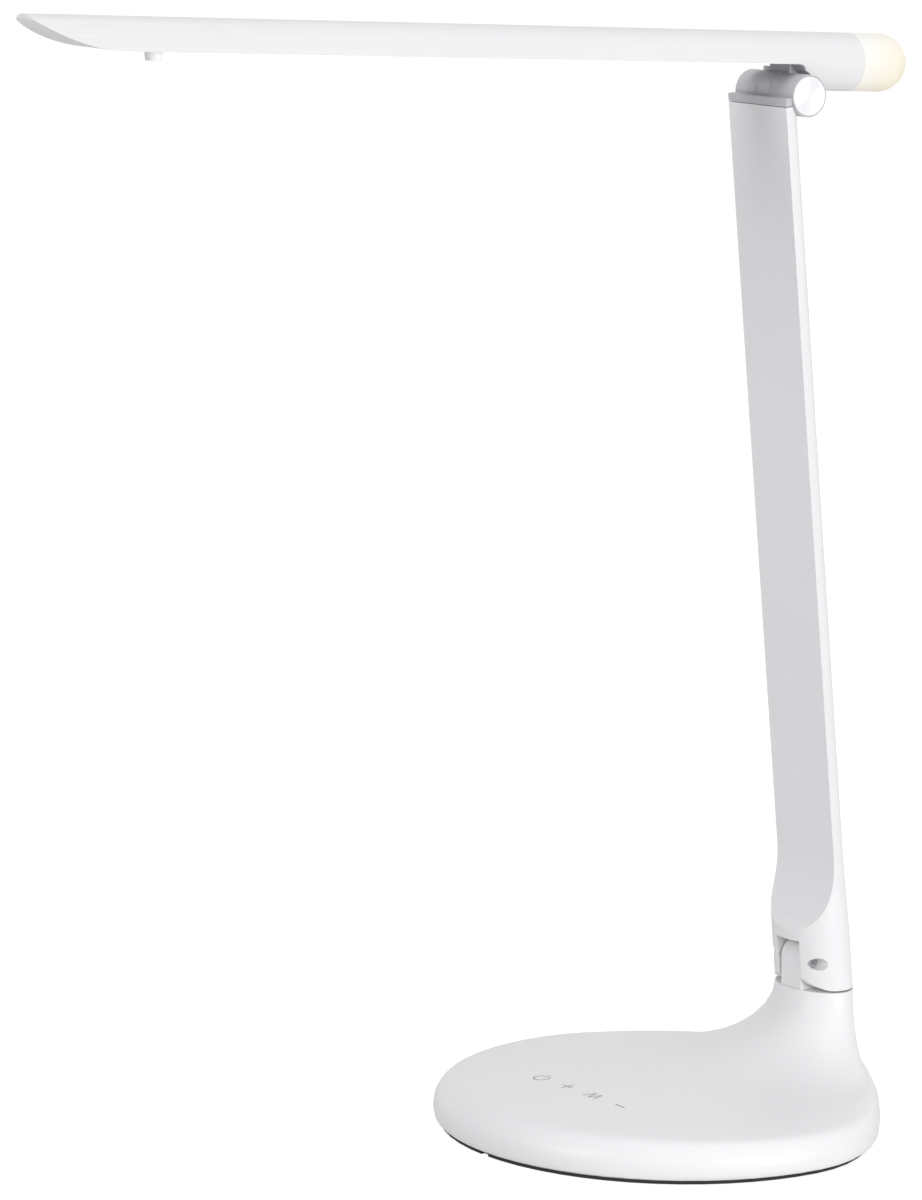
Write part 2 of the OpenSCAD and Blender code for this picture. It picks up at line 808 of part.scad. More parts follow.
module night_cap() {
    inner = tube_r - night_wall;
    lip = bore_r - seat;
    color(warm) in_head() translate([0, head_rear, head_rise]) difference() {
        union() {
            y_bar(tube_r, 0, night_len);
            translate([0, night_len, 0]) sphere(r = tube_r);
            y_bar(lip, plug_end + night_board_t + seat - head_rear, 1);
        }
        y_bar(lip - lip_wall, -head_rear, 2);
        y_bar(inner, 1.2, night_len);
        translate([0, night_len, 0]) sphere(r = inner);
    }
}

module night_board() {
    color(board_green) in_head() translate([0, 0, head_rise])
        y_bar(bore_r - seat, plug_end, plug_end + night_board_t);
}

module night_leds() {
    color(warm) in_head() for (turn = [90 : 120 : 330])
        translate([3.6 * cos(turn), plug_end + night_board_t + led_t / 2, head_rise + 3.6 * sin(turn)])
            cube([led_size, led_t, led_size], center = true);
}

module head_wire() {
    color(dark) in_head() lead([[0, -diffuser_start - 0.4, lead_z], [0, plug_end, lead_z]]);
}

base_shell();
fold_lug();
base_plate();
foot_pad();
ballast();
touch_board();
touch_springs();
board_screws();
base_screws();
power_jack();
jack_contact();
base_wire();
arm_shell();
arm_cover();
arm_spine();
arm_screws();
arm_cap();
arm_wire();
fold_pin();
fold_nut();
fold_washers();
hinge_bolt();
hinge_nut();
hinge_washer();
hinge_disc();
head_shell();
head_hinge();
hinge_grubs();
far_disc();
heat_strip();
led_board();
led_chips();
diffuser();
bumper();
night_cap();
night_board();
night_leds();
head_wire();
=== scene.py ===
# %% [markdown]
# # A folding desk lamp, dressed for its picture
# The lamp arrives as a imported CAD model: every shell, pin, screw and lead is there at its real size.
# In this lesson nothing of that is moved. We load it as a fixed frame, make finishes for its
# materials, soften the moulded edges of the pieces that show, print the touch marks on the base, and
# light it like a product on a white table.

# %% Load the lamp
import json
import math

import bmesh
import bpy
from mathutils import Matrix, Vector


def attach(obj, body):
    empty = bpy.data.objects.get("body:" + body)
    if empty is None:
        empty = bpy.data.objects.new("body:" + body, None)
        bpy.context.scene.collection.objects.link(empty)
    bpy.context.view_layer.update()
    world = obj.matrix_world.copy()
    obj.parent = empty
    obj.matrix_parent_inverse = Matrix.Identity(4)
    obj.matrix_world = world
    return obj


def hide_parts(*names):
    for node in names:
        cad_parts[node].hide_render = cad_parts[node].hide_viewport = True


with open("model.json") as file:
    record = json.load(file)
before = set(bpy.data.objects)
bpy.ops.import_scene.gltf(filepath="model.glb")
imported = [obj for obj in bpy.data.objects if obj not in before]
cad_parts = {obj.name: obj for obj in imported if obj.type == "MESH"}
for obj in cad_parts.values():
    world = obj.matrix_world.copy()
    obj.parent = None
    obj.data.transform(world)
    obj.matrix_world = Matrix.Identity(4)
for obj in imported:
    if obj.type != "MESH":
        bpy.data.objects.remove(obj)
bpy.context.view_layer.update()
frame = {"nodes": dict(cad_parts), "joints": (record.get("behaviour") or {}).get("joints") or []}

# %% [markdown]
# ## The places that later cells need
# Both hinges are stated in the record, so their axes are read from there. The head has a frame of its
# own: its origin is on the barrel's axis and the head reaches along -Y, tilted up a little. A matrix
# holds that frame, so that a detail can be drawn straight and then put in its place in one go.

# %% Hinges and the head's own frame
MM = 0.001
hinge_place = {joint["name"]: Vector(joint["pos_m"]) for joint in frame["joints"]}
barrel_at = hinge_place["head_tilt"]
HEAD_TILT = math.radians(3.5)
head_frame = Matrix.Translation(barrel_at) @ Matrix.Rotation(-HEAD_TILT, 4, "X")
print("barrel axis at", [round(c * 1000, 1) for c in barrel_at], "mm")

# %% [markdown]
# ## One way to write node trees
# A finish is a small graph of nodes. Linking each socket by hand hides the idea, so a thin class wraps
# a socket and gives it +, -, * and /: an expression such as `1 - mask * 0.2` then adds the Math nodes
# it needs. Every other node comes from one method, which first sets the node's own settings and then
# fills or links its sockets. The same class writes the Geometry Nodes trees further down.

# %% Wires and pages
class Wire:
    """One output socket, which can be used in sums."""

    def __init__(self, page, socket):
        self.page, self.socket = page, socket

    def math(self, operation, first, second=0.0):
        return self.page.node("ShaderNodeMath", {"operation": operation}, {0: first, 1: second})[0]

    def __add__(self, other):
        return self.math("ADD", self, other)

    def __sub__(self, other):
        return self.math("SUBTRACT", self, other)

    def __rsub__(self, other):
        return self.math("SUBTRACT", other, self)

    def __mul__(self, other):
        return self.math("MULTIPLY", self, other)

    def __truediv__(self, other):
        return self.math("DIVIDE", self, other)

    def __rtruediv__(self, other):
        return self.math("DIVIDE", other, self)

    __radd__ = __add__
    __rmul__ = __mul__


class Made:
    """A node that a page has made: made["Name"] or made[0] is one of its outputs."""

    def __init__(self, page, node):
        self.page, self.made = page, node

    def __getitem__(self, key):
        return Wire(self.page, self.made.outputs[key])


class Page:
    """A node tree that is written line by line."""

    def __init__(self, tree):
        self.tree = tree

    def node(self, kind, settings=None, sockets=None):
        made = self.tree.nodes.new(kind)
        for name, value in (settings or {}).items():
            setattr(made, name, value)
        for key, value in (sockets or {}).items():
            if isinstance(value, Wire):
                self.tree.links.new(value.socket, made.inputs[key])
            else:
                made.inputs[key].default_value = value
        return Made(self, made)


# %% [markdown]
# ## What every finish has in common
# Moulded plastic, rubber and metal differ in colour and gloss, but all have the same three kinds of
# detail: a slow drift of tone over the piece, a finer change of gloss where it is handled or rubbed,
# and a grain that bends the light. One base class makes the surface shader and these three from
# noise in Object coordinates, which are metres here, so a scale of 1000 gives features of about 1 mm.

# %% The common part of a finish
finishes = {}


class Finish(Page):
    """A surface that is written line by line, with its material kept under its name."""

    def __init__(self, name, colour, roughness, metallic=0.0, ior=1.46, **constants):
        material = bpy.data.materials.new(name)
        material.use_nodes = True
        material.diffuse_color = (*colour, 1)
        super().__init__(material.node_tree)
        self.tree.nodes.clear()
        self.material = finishes[name] = material
        self.place = self.node("ShaderNodeTexCoord")["Object"]
        self.surface = self.node("ShaderNodeBsdfPrincipled", None, {
            "Base Color": (*colour, 1), "Roughness": roughness, "Metallic": metallic, "IOR": ior,
            **constants})
        self.node("ShaderNodeOutputMaterial", None, {"Surface": self.surface["BSDF"]})

    def noise(self, scale, detail=2.0, stretch=(1, 1, 1)):
        place = self.node("ShaderNodeMapping", None, {"Vector": self.place, "Scale": stretch})["Vector"]
        return self.node("ShaderNodeTexNoise", None, {
            "Vector": place, "Scale": scale, "Detail": detail})["Fac"]

    def blend(self, share, first, second):
        return self.node("ShaderNodeMix", {"data_type": "RGBA"}, {
            0: share, 6: (*first, 1), 7: (*second, 1)})[2]

    def tint(self, share, first, second):
        self.into("Base Color", self.blend(share, first, second))

    def into(self, socket, wire):
        self.tree.links.new(wire.socket, self.surface.made.inputs[socket])

    def relief(self, height, depth, strength=1.0):
        self.into("Normal", self.node("ShaderNodeBump", None, {
            "Height": height, "Distance": depth, "Strength": strength})["Normal"])


# %% [markdown]
# ## White moulded plastic
# The shells are satin white plastic out of a spark-eroded mould. Its grain is a fraction of a
# millimetre, so it shows only as a soft, wide highlight. A little variation in gloss keeps large calm
# faces from looking like paper. The head's white is a shade darker than the base's: painted shade,
# which tones down its top under the overhead light. The cap on the arm and the barrel are grey:
# painted shade for the head's shadow, which falls on them.

# %% White plastic, and its darker copies as painted shade
SOFT_GLOSS = 0.3


def around(colour, below, above):
    """Two tones of a colour, a share below it and a share above it."""
    return tuple(c * (1 - below) for c in colour), tuple(min(1, c * (1 + above)) for c in colour)


def moulded_plastic(name, colour, roughness):
    finish = Finish(name, colour, roughness, **{"Specular IOR Level": SOFT_GLOSS})
    drift = finish.noise(9, 3)
    finish.tint(drift, *around(colour, 0.025, 0.02))
    finish.into("Roughness", finish.noise(70, 4) * 0.10 + (roughness - 0.05))
    finish.relief(finish.noise(2600, 3) + finish.noise(330, 2) * 0.6, 0.02 * MM, 0.5)


moulded_plastic("shell_white", (0.80, 0.80, 0.805), 0.36)
moulded_plastic("cover_white", (0.79, 0.79, 0.80), 0.42)
# painted shade: the head's white is darker than the base's, which tones down its top under the overhead
# light
moulded_plastic("head_white", (0.75, 0.75, 0.755), 0.38)
# painted shade: the arm's cap and the barrel lie in the head's shadow, and this grey stands in for it
moulded_plastic("knuckle_grey", (0.52, 0.52, 0.54), 0.42)
print("moulded finishes:", ", ".join(finishes))

# %% [markdown]
# ## The dark and the soft pieces
# The bottom plate is matt black plastic and the pad is soft rubber. Rubber picks up dust, so its tone
# is more uneven and its grain coarser than that of the plastic. The bumper under the head is of a soft
# white kind, which marks less.

# %% Dark plastic, rubber and the leads' cover
SOFT_IOR = 1.5


def soft_finish(name, colour, roughness, grain, depth, uneven):
    finish = Finish(name, colour, roughness, ior=SOFT_IOR)
    finish.tint(finish.noise(28, 5), *around(colour, uneven, uneven))
    finish.into("Roughness", finish.noise(140, 3) * 0.16 + (roughness - 0.08))
    finish.relief(finish.noise(grain, 4), depth)


soft_finish("plate_black", (0.022, 0.022, 0.024), 0.55, 1400, 0.05 * MM, 0.25)
soft_finish("pad_rubber", (0.020, 0.020, 0.021), 0.78, 800, 0.1 * MM, 0.4)
soft_finish("bumper_rubber", (0.82, 0.82, 0.815), 0.62, 900, 0.06 * MM, 0.03)
soft_finish("lead_sleeve", (0.025, 0.025, 0.027), 0.5, 2200, 0.03 * MM, 0.2)
print("finishes so far:", len(finishes))

# %% [markdown]
# ## Metals
# Rolled steel and drawn aluminium carry long fine scratches, which a noise stretched along one axis
# gives. Plated screws are brighter, with small crystals. All of them keep Metallic at 1: their colour
# is the colour of their reflection.

# %% Steel, plated screws, aluminium and brass
def metal(name, colour, roughness, stretch, scale, depth):
    finish = Finish(name, colour, roughness, metallic=1.0)
    streaks = finish.noise(scale, 4, stretch)
    finish.tint(streaks, *around(colour, 0.12, 0.06))
    finish.into("Roughness", streaks * 0.18 + (roughness - 0.09))
    finish.relief(streaks, depth)


metal("rolled_steel", (0.42, 0.43, 0.45), 0.38, (1, 12, 12), 160, 0.02 * MM)
metal("plated_steel", (0.58, 0.59, 0.60), 0.28, (1, 1, 1), 1500, 0.02 * MM)
metal("drawn_aluminium", (0.74, 0.74, 0.76), 0.34, (12, 1, 12), 160, 0.02 * MM)
metal("plated_contact", (0.78, 0.58, 0.28), 0.25, (1, 1, 1), 900, 0.01 * MM)
print("finishes so far:", len(finishes))

# %% [markdown]
# ## The spun discs at the barrel's ends
# Both discs are turned on a lathe, which leaves fine rings round the middle. The distance of a point
# from the barrel's axis is all that these rings need: a wave of that distance goes into the bump, and
# a slower one into the tone. Two greyer lobes across the middle, with brighter ones between, are a
# painted highlight made from the angle round the axis: they stand in for the way turned metal reflects
# light.

# %% Turned aluminium
RINGS, TONE_RINGS = 26000, 3100
HIGHLIGHT_LOBE_TURN = 1.75


def turned_disc(name):
    finish = Finish(name, (0.95, 0.95, 0.96), 0.30, metallic=1.0)
    along = finish.node("ShaderNodeVectorMath", {"operation": "SUBTRACT"}, {
        0: finish.place, 1: barrel_at})["Vector"]
    flat = finish.node("ShaderNodeVectorMath", {"operation": "MULTIPLY"}, {
        0: along, 1: (0, 1, 1)})["Vector"]
    radius = finish.node("ShaderNodeVectorMath", {"operation": "LENGTH"}, {0: flat})["Value"]
    rings = finish.node("ShaderNodeMath", {"operation": "SINE"}, {0: radius * RINGS})[0]
    slow = finish.node("ShaderNodeMath", {"operation": "SINE"}, {
        0: radius * TONE_RINGS + finish.noise(90, 2) * 2})[0]
    parts = finish.node("ShaderNodeSeparateXYZ", None, {0: along})
    turn = finish.node("ShaderNodeMath", {"operation": "ARCTAN2"}, {0: parts["Z"], 1: parts["Y"]})[0]
    # painted highlight: two bright and two grey lobes round the axis, painted into the disc's tone
    painted_highlight_lobes = finish.node("ShaderNodeMath", {"operation": "COSINE"}, {0: turn * 2 - HIGHLIGHT_LOBE_TURN})[0]
    finish.tint(0.60 - painted_highlight_lobes * 0.36 + slow * 0.04, (0.74, 0.74, 0.77), (0.95, 0.95, 0.95))
    finish.into("Roughness", slow * 0.02 + 0.34)
    finish.relief(rings + finish.noise(3000, 2) * 0.2, 0.006 * MM, 0.7)


turned_disc("turned_disc")
print("barrel's ends:", finishes["turned_disc"].name)

# %% [markdown]
# ## Boards and their light-emitting diodes
# The circuit boards are green lacquer over copper: a cell pattern stretched along the board hints at
# the tracks below the lacquer. The diodes have a yellow lens that fills most of their face.

# %% Boards and diodes
def board_lacquer(name):
    finish = Finish(name, (0.02, 0.14, 0.06), 0.32, ior=SOFT_IOR)
    tracks = finish.node("ShaderNodeTexVoronoi", {"distance": "MANHATTAN"}, {
        "Vector": finish.place, "Scale": 420.0})["Distance"]
    finish.tint(tracks, (0.016, 0.10, 0.045), (0.03, 0.20, 0.09))
    finish.into("Roughness", finish.noise(240, 3) * 0.15 + 0.25)
    finish.relief(tracks, 0.03 * MM)


def diode_lens(name):
    finish = Finish(name, (0.95, 0.72, 0.25), 0.25, ior=SOFT_IOR)
    finish.tint(finish.noise(900, 3), (0.90, 0.62, 0.18), (0.98, 0.82, 0.36))
    finish.into("Roughness", finish.noise(500, 2) * 0.1 + 0.2)
    finish.relief(finish.noise(1300, 2), 0.01 * MM)


board_lacquer("board_lacquer")
diode_lens("diode_lens")
print("finishes so far:", len(finishes))

# %% [markdown]
# ## The diffuser under the head
# The long window is milky acrylic. Light from the row of diodes behind it spreads, so the window is a
# little brighter over its middle line than at its edges, and brightest in its long middle.

# %% Milky diffuser
ACRYLIC_IOR, WINDOW_GLOW, CAP_GLOW = 1.49, 0.21, 0.15


def milky_window(name):
    finish = Finish(name, (0.86, 0.87, 0.88), 0.30, ior=ACRYLIC_IOR, **{"Emission Strength": WINDOW_GLOW})
    across = finish.node("ShaderNodeSeparateXYZ", None, {0: finish.place})["X"]
    middle = 1 - finish.node("ShaderNodeMath", {"operation": "ABSOLUTE"}, {0: across})[0] * 70
    finish.tint(finish.noise(30, 3), (0.84, 0.85, 0.86), (0.89, 0.90, 0.91))
    glow = finish.node("ShaderNodeMix", {"data_type": "RGBA"}, {
        0: middle, 6: (0.55, 0.56, 0.58, 1), 7: (1.0, 0.98, 0.94, 1)})[2]
    finish.into("Emission Color", glow)
    finish.into("Roughness", finish.noise(200, 3) * 0.12 + 0.24)
    finish.relief(finish.noise(1800, 2), 0.02 * MM)


milky_window("milky_window")
print("window finish:", finishes["milky_window"].name)

# %% [markdown]
# ## The night light's glowing cap
# The cap is a milky shell over three warm diodes. It is almost white at the seam, where the lip inside
# doubles the wall, and turns to a warm orange where the wall is thin and close to the diodes, at its
# rear and its lower side. A gradient in the head's own frame mixes the two.

# %% Warm cap
CAP_FROM, CAP_TO, CAP_DEPTH = 29 * MM, 53 * MM, 20 * MM


def warm_cap(name):
    finish = Finish(name, (0.70, 0.68, 0.62), 0.40, ior=ACRYLIC_IOR, **{"Emission Strength": CAP_GLOW})
    local = finish.node("ShaderNodeVectorMath", {"operation": "SUBTRACT"}, {
        0: finish.place, 1: barrel_at})["Vector"]
    parts = finish.node("ShaderNodeSeparateXYZ", None, {0: local})
    back, height = parts["Y"], parts["Z"]
    along = (back - CAP_FROM) / (CAP_TO - CAP_FROM)
    low = 1 - (height - 1 * MM) / CAP_DEPTH
    warm = finish.node("ShaderNodeMath", {"operation": "MULTIPLY", "use_clamp": True}, {
        0: along * 0.8 + low * 0.45 + finish.noise(60, 3) * 0.08 - 0.25, 1: 1.0})[0]
    finish.tint(warm, (0.72, 0.715, 0.69), (0.72, 0.66, 0.52))
    finish.into("Emission Color", finish.blend(warm, (1.0, 0.98, 0.92), (1.0, 0.80, 0.45)))
    finish.into("Roughness", finish.noise(220, 3) * 0.12 + 0.34)
    finish.relief(finish.noise(2200, 2), 0.02 * MM)


warm_cap("warm_cap")
print("finishes made:", ", ".join(sorted(finishes)))

# %% [markdown]
# ## Giving each CAD piece its finish
# The pieces that nobody sees get their finish straight on the CAD mesh: flat faces and sharp edges do
# no harm inside a shell, and they count when the lamp is looked at in section.

# %% Finishes by piece
finish_of = {
    "plate_black": ["base_plate", "power_jack"],
    "pad_rubber": ["foot_pad"],
    "bumper_rubber": ["bumper"],
    "rolled_steel": ["ballast", "arm_spine"],
    "plated_steel": ["board_screws", "base_screws", "arm_screws", "fold_pin", "fold_nut", "fold_washers",
                     "hinge_bolt", "hinge_nut", "hinge_grubs", "touch_springs"],
    "turned_disc": ["hinge_disc", "far_disc"],
    "drawn_aluminium": ["heat_strip"],
    "board_lacquer": ["touch_board", "led_board", "night_board"],
    "plated_contact": ["jack_contact"],
    "lead_sleeve": ["base_wire", "arm_wire", "head_wire"],
    "milky_window": ["diffuser"],
    "warm_cap": ["night_cap"],
    "diode_lens": ["led_chips", "night_leds"],
    "cover_white": ["arm_cover", "hinge_washer"],
    "shell_white": ["base_shell", "fold_lug", "arm_shell"],
    # head_shell takes the darker white, which is painted shade
    "head_white": ["head_shell"],
    # arm_cap and head_hinge take the grey that is painted shade for the head's shadow
    "knuckle_grey": ["arm_cap", "head_hinge"],
}
material_of = {node: finishes[name] for name, nodes in finish_of.items() for node in nodes}
for node, piece in frame["nodes"].items():
    piece.data.materials.clear()
    piece.data.materials.append(material_of[node])
print("pieces with a finish:", len(material_of))

# %% [markdown]
# ## Softening the pieces that show
# A CAD mesh is loose, flat-shaded triangles. For the outer shells we copy it, merge the corners that
# lie on each other, let faces that meet at a small angle shade as one curve, and round the sharp
# edges with a narrow bevel, as any mould does. The copy then stands for the CAD piece, which stays in
# the model for collision. The long lead in the base is done too, so that its bends are round.

# %% Smooth copies
TIP_FROM, TIP_ROUND = 300 * MM, 0.55 * MM
TIP_EDGE, SAME_PLANE, CREASE, BEVEL_FROM = (math.radians(degrees) for degrees in (20, 0.03, 32, 42))
SAME_POINT = 0.005 * MM
to_head = head_frame.inverted()


def round_tip(shape):
    """Round the edges of the head's blunt end more than the narrow bevel does."""
    rim = [edge for edge in shape.edges
           if len(edge.link_faces) == 2 and edge.calc_face_angle(0.0) > TIP_EDGE
           and all((to_head @ vert.co).y < -TIP_FROM for vert in edge.verts)]
    bmesh.ops.bevel(shape, geom=rim, offset=TIP_ROUND, segments=4, profile=0.5, affect="EDGES",
                    clamp_overlap=True)
    print("tip edges rounded:", len(rim))


def softened(node, body, bevel):
    """A smooth copy of a CAD piece, which stands for it and rides with its body."""
    mesh = frame["nodes"][node].data.copy()
    mesh.name = node + "_skin"
    shape = bmesh.new()
    shape.from_mesh(mesh)
    bmesh.ops.remove_doubles(shape, verts=shape.verts, dist=SAME_POINT)
    bmesh.ops.dissolve_degenerate(shape, dist=SAME_POINT, edges=shape.edges)
    bmesh.ops.dissolve_limit(shape, angle_limit=SAME_PLANE, verts=shape.verts, edges=shape.edges)
    if node == "head_shell":
        round_tip(shape)
    for face in shape.faces:
        face.smooth = True
    for edge in shape.edges:
        edge.smooth = len(edge.link_faces) == 2 and edge.calc_face_angle(0.0) < CREASE
    shape.to_mesh(mesh)
    shape.free()
    piece = bpy.data.objects.new(node + "_skin", mesh)
    bpy.context.scene.collection.objects.link(piece)
    rounding = piece.modifiers.new("rounded edges", "BEVEL")
    rounding.width, rounding.segments = bevel, 2
    rounding.limit_method, rounding.angle_limit = "ANGLE", BEVEL_FROM
    rounding.harden_normals = True
    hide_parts(node)
    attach(piece, body)
    return piece


skins = {}
for node, body, slot, bevel in [
        ("base_shell", "base", "white_body", 0.25 * MM), ("fold_lug", "base", "white_body", 0.3 * MM),
        ("arm_shell", "arm", "white_body", 0.3 * MM), ("arm_cover", "arm", "white_body", 0.2 * MM),
        # hinge_grey is the record's slot name; the grey on these two pieces is painted shade for the head's
        # shadow
        ("arm_cap", "arm", "hinge_grey", 0.4 * MM), ("hinge_disc", "arm", "spun_disc", 0.35 * MM),
        ("head_shell", "head", "white_body", 0.25 * MM), ("head_hinge", "head", "hinge_grey", 0.25 * MM),
        ("far_disc", "head", "spun_disc", 0.35 * MM), ("night_cap", "head", "night_cover", 0.15 * MM),
        ("diffuser", "head", "diffuser", 0.15 * MM), ("bumper", "head", "soft_white", 0.4 * MM),
        ("foot_pad", "base", "rubber", 0.2 * MM), ("base_wire", "base", "lead_cover", 0.1 * MM)]:
    skins[node] = softened(node, body, bevel)
    print(node, len(skins[node].data.polygons), "faces")

# %% [markdown]
# ## The touch marks on the base
# Four thin grey marks show where to touch: on and off, brighter, mode and dimmer. They are printed, so
# they follow the curved top. Geometry Nodes suit that: plain flat curves go in, a round bead is swept
# along them, and a ray from each point straight down finds the base, on which the bead is pressed
# flat. The marks move with the base if its shape changes.

# %% Mark lines
MARK_PITCH, MARK_Y, MARK_Z = 15.6 * MM, -39.2 * MM, 40 * MM


def arc(radius, start, end, steps=28):
    """Points on an arc, from one angle to another in degrees."""
    turns = [math.radians(start + (end - start) * i / steps) for i in range(steps + 1)]
    return [(radius * math.cos(turn), radius * math.sin(turn)) for turn in turns]


mark_lines = [
    [arc(2.9, 130, 410), [(0, 0.7), (0, 3.8)]],
    [[(-2.8, 0), (2.8, 0)], [(0, -2.8), (0, 2.8)]],
    [[(-3.2, -2.5), (-1.6, 2.5), (0, -2.5), (1.6, 2.5), (3.2, -2.5)]],
    [[(-2.6, 0), (2.6, 0)]],
]
mark_curve = bpy.data.curves.new("touch_mark_lines", "CURVE")
mark_curve.dimensions = "3D"
for number, lines in enumerate(mark_lines):
    for line in lines:
        spline = mark_curve.splines.new("POLY")
        spline.points.add(len(line) - 1)
        for point, (x, y) in zip(spline.points, line):
            point.co = ((number - 1.5) * MARK_PITCH + x * MM, MARK_Y + y * MM, MARK_Z, 1)
mark_source = bpy.data.objects.new("touch_mark_lines", mark_curve)
bpy.context.scene.collection.objects.link(mark_source)
print("mark lines:", len(mark_curve.splines))

# %% [markdown]
# ## The printing of the marks
# The print is a dark grey ink that stands a hair above the surface. The tree's inputs have names, and a
# modifier's input is set by the socket's identifier before the result is first worked out. The result
# is turned into a plain mesh, so nothing live is left behind.

# %% Ink and its tree
ink_finish = Finish("mark_ink", (0.22, 0.22, 0.23), 0.5)
ink_finish.tint(ink_finish.noise(700, 3), (0.19, 0.19, 0.20), (0.26, 0.26, 0.27))
ink_finish.into("Roughness", ink_finish.noise(400, 2) * 0.1 + 0.45)
ink_finish.relief(ink_finish.noise(2400, 2), 0.01 * MM)


def geometry_page(name, inputs):
    """A Geometry Nodes tree with these named inputs."""
    tree = bpy.data.node_groups.new(name, "GeometryNodeTree")
    tree.interface.new_socket("Geometry", in_out="INPUT", socket_type="NodeSocketGeometry")
    tree.interface.new_socket("Geometry", in_out="OUTPUT", socket_type="NodeSocketGeometry")
    for label, kind in inputs:
        tree.interface.new_socket(label, in_out="INPUT", socket_type=kind)
    page = Page(tree)
    return page, page.node("NodeGroupInput")


def worked_out(source, page, values, name):
    """The plain mesh that a tree makes of the source object with these inputs."""
    modifier = source.modifiers.new(name, "NODES")
    modifier.node_group = page.tree
    for item in page.tree.interface.items_tree:
        if item.in_out == "INPUT" and item.name in values:
            modifier[item.identifier] = values[item.name]
    bpy.context.view_layer.update()
    graph = bpy.context.evaluated_depsgraph_get()
    mesh = bpy.data.meshes.new_from_object(source.evaluated_get(graph), depsgraph=graph)
    source.modifiers.remove(modifier)
    bpy.data.objects.remove(source)
    mesh.name = name
    piece = bpy.data.objects.new(name, mesh)
    bpy.context.scene.collection.objects.link(piece)
    return piece


page, given = geometry_page("printed marks", [
    ("Base", "NodeSocketObject"), ("Line width", "NodeSocketFloat"), ("Step", "NodeSocketFloat"),
    ("Ink height", "NodeSocketFloat"), ("Drawn at", "NodeSocketFloat"), ("Ink", "NodeSocketMaterial")])
fine = page.node("GeometryNodeResampleCurve", None, {"Curve": given["Geometry"]})
fine.made.mode = "LENGTH"
page.tree.links.new(given["Step"].socket, fine.made.inputs["Length"])
pen = page.node("GeometryNodeCurvePrimitiveCircle", None, {
    "Resolution": 8, "Radius": given["Line width"] * 0.5})
bead = page.node("GeometryNodeCurveToMesh", None, {
    "Curve": fine["Curve"], "Profile Curve": pen["Curve"], "Fill Caps": True})
base_skin = page.node("GeometryNodeObjectInfo", {"transform_space": "RELATIVE"}, {
    "Object": given["Base"]})
here = page.node("GeometryNodeInputPosition")["Position"]
ray = page.node("GeometryNodeRaycast", None, {
    "Target Geometry": base_skin["Geometry"], "Source Position": here,
    "Ray Direction": (0, 0, -1), "Ray Length": 100 * MM})
found = page.node("ShaderNodeSeparateXYZ", None, {0: ray["Hit Position"]})
drawn = page.node("ShaderNodeSeparateXYZ", None, {0: here})
lift = (drawn["Z"] - given["Drawn at"]) / given["Line width"] * 2 * given["Ink height"]
pressed = page.node("ShaderNodeCombineXYZ", None, {
    "X": found["X"], "Y": found["Y"], "Z": found["Z"] + lift})
flat = page.node("GeometryNodeSetPosition", None, {"Geometry": bead["Mesh"], "Position": pressed["Vector"]})
solid = page.node("GeometryNodeRealizeInstances", None, {"Geometry": flat["Geometry"]})
inked = page.node("GeometryNodeSetMaterial", None, {
    "Geometry": solid["Geometry"], "Material": given["Ink"]})
page.node("NodeGroupOutput", None, {"Geometry": inked["Geometry"]})
marks = worked_out(mark_source, page, {
    "Base": skins["base_shell"], "Line width": 0.6 * MM, "Step": 0.4 * MM, "Ink height": 0.05 * MM,
    "Drawn at": MARK_Z, "Ink": ink_finish.material}, "touch_marks")
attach(marks, "base")
heights = sorted(round(vert.co.z / MM, 2) for vert in marks.data.vertices)
print("marks lie", heights[0], "to", heights[-1], "mm high,", len(marks.data.polygons), "faces")

# %% [markdown]
# ## The ribs in the diffuser
# The window's inner face has fine ribs along it that spread the light sideways. They repeat at one
# pitch, so Geometry Nodes place one long bar on each point of a row. The tree draws them straight in
# the head's own frame, and the finished mesh is then put in place once.

# %% Diffuser ribs
RIB_COUNT, RIB_LENGTH, RIB_HEIGHT, RIB_ROW = 17, 226 * MM, 0.3 * MM, 12.5 * MM
RIB_MIDDLE, WINDOW_FACE, WINDOW_WALL = 134 * MM, 10.7 * MM, 1.7 * MM
rib_seed = bpy.data.objects.new("rib_seed", bpy.data.meshes.new("rib_seed"))
bpy.context.scene.collection.objects.link(rib_seed)
page, given = geometry_page("window ribs", [
    ("Ribs", "NodeSocketInt"), ("Width", "NodeSocketFloat"), ("Length", "NodeSocketFloat"),
    ("Rib height", "NodeSocketFloat"), ("Rib finish", "NodeSocketMaterial")])
pitch = given["Width"] / (given["Ribs"] - 1)
start = page.node("ShaderNodeCombineXYZ", None, {"X": given["Width"] * -0.5})
step = page.node("ShaderNodeCombineXYZ", None, {"X": pitch})
row = page.node("GeometryNodeMeshLine", None, {
    "Count": given["Ribs"], "Start Location": start["Vector"], "Offset": step["Vector"]})
bar_size = page.node("ShaderNodeCombineXYZ", None, {
    "X": pitch * 0.55, "Y": given["Length"], "Z": given["Rib height"]})
bar = page.node("GeometryNodeMeshCube", None, {"Size": bar_size["Vector"]})
placed = page.node("GeometryNodeInstanceOnPoints", None, {
    "Points": row["Mesh"], "Instance": bar["Mesh"]})
solid = page.node("GeometryNodeRealizeInstances", None, {"Geometry": placed["Instances"]})
ribbed = page.node("GeometryNodeSetMaterial", None, {
    "Geometry": solid["Geometry"], "Material": given["Rib finish"]})
page.node("NodeGroupOutput", None, {"Geometry": ribbed["Geometry"]})
ribs = worked_out(rib_seed, page, {
    "Ribs": RIB_COUNT, "Width": RIB_ROW, "Length": RIB_LENGTH, "Rib height": RIB_HEIGHT,
    "Rib finish": finishes["milky_window"]}, "window_ribs")
ribs.data.transform(head_frame @ Matrix.Translation((0, -RIB_MIDDLE, WINDOW_FACE + WINDOW_WALL)))
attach(ribs, "head")
print("ribs:", len(ribs.data.polygons) // 6)

# %% [markdown]
# ## The camera
# The lamp is seen from its right front, a little from above, through a long lens from about two
# metres, which keeps the base's outline calm. The frame is upright, so the lens belongs to the
# picture's long side.

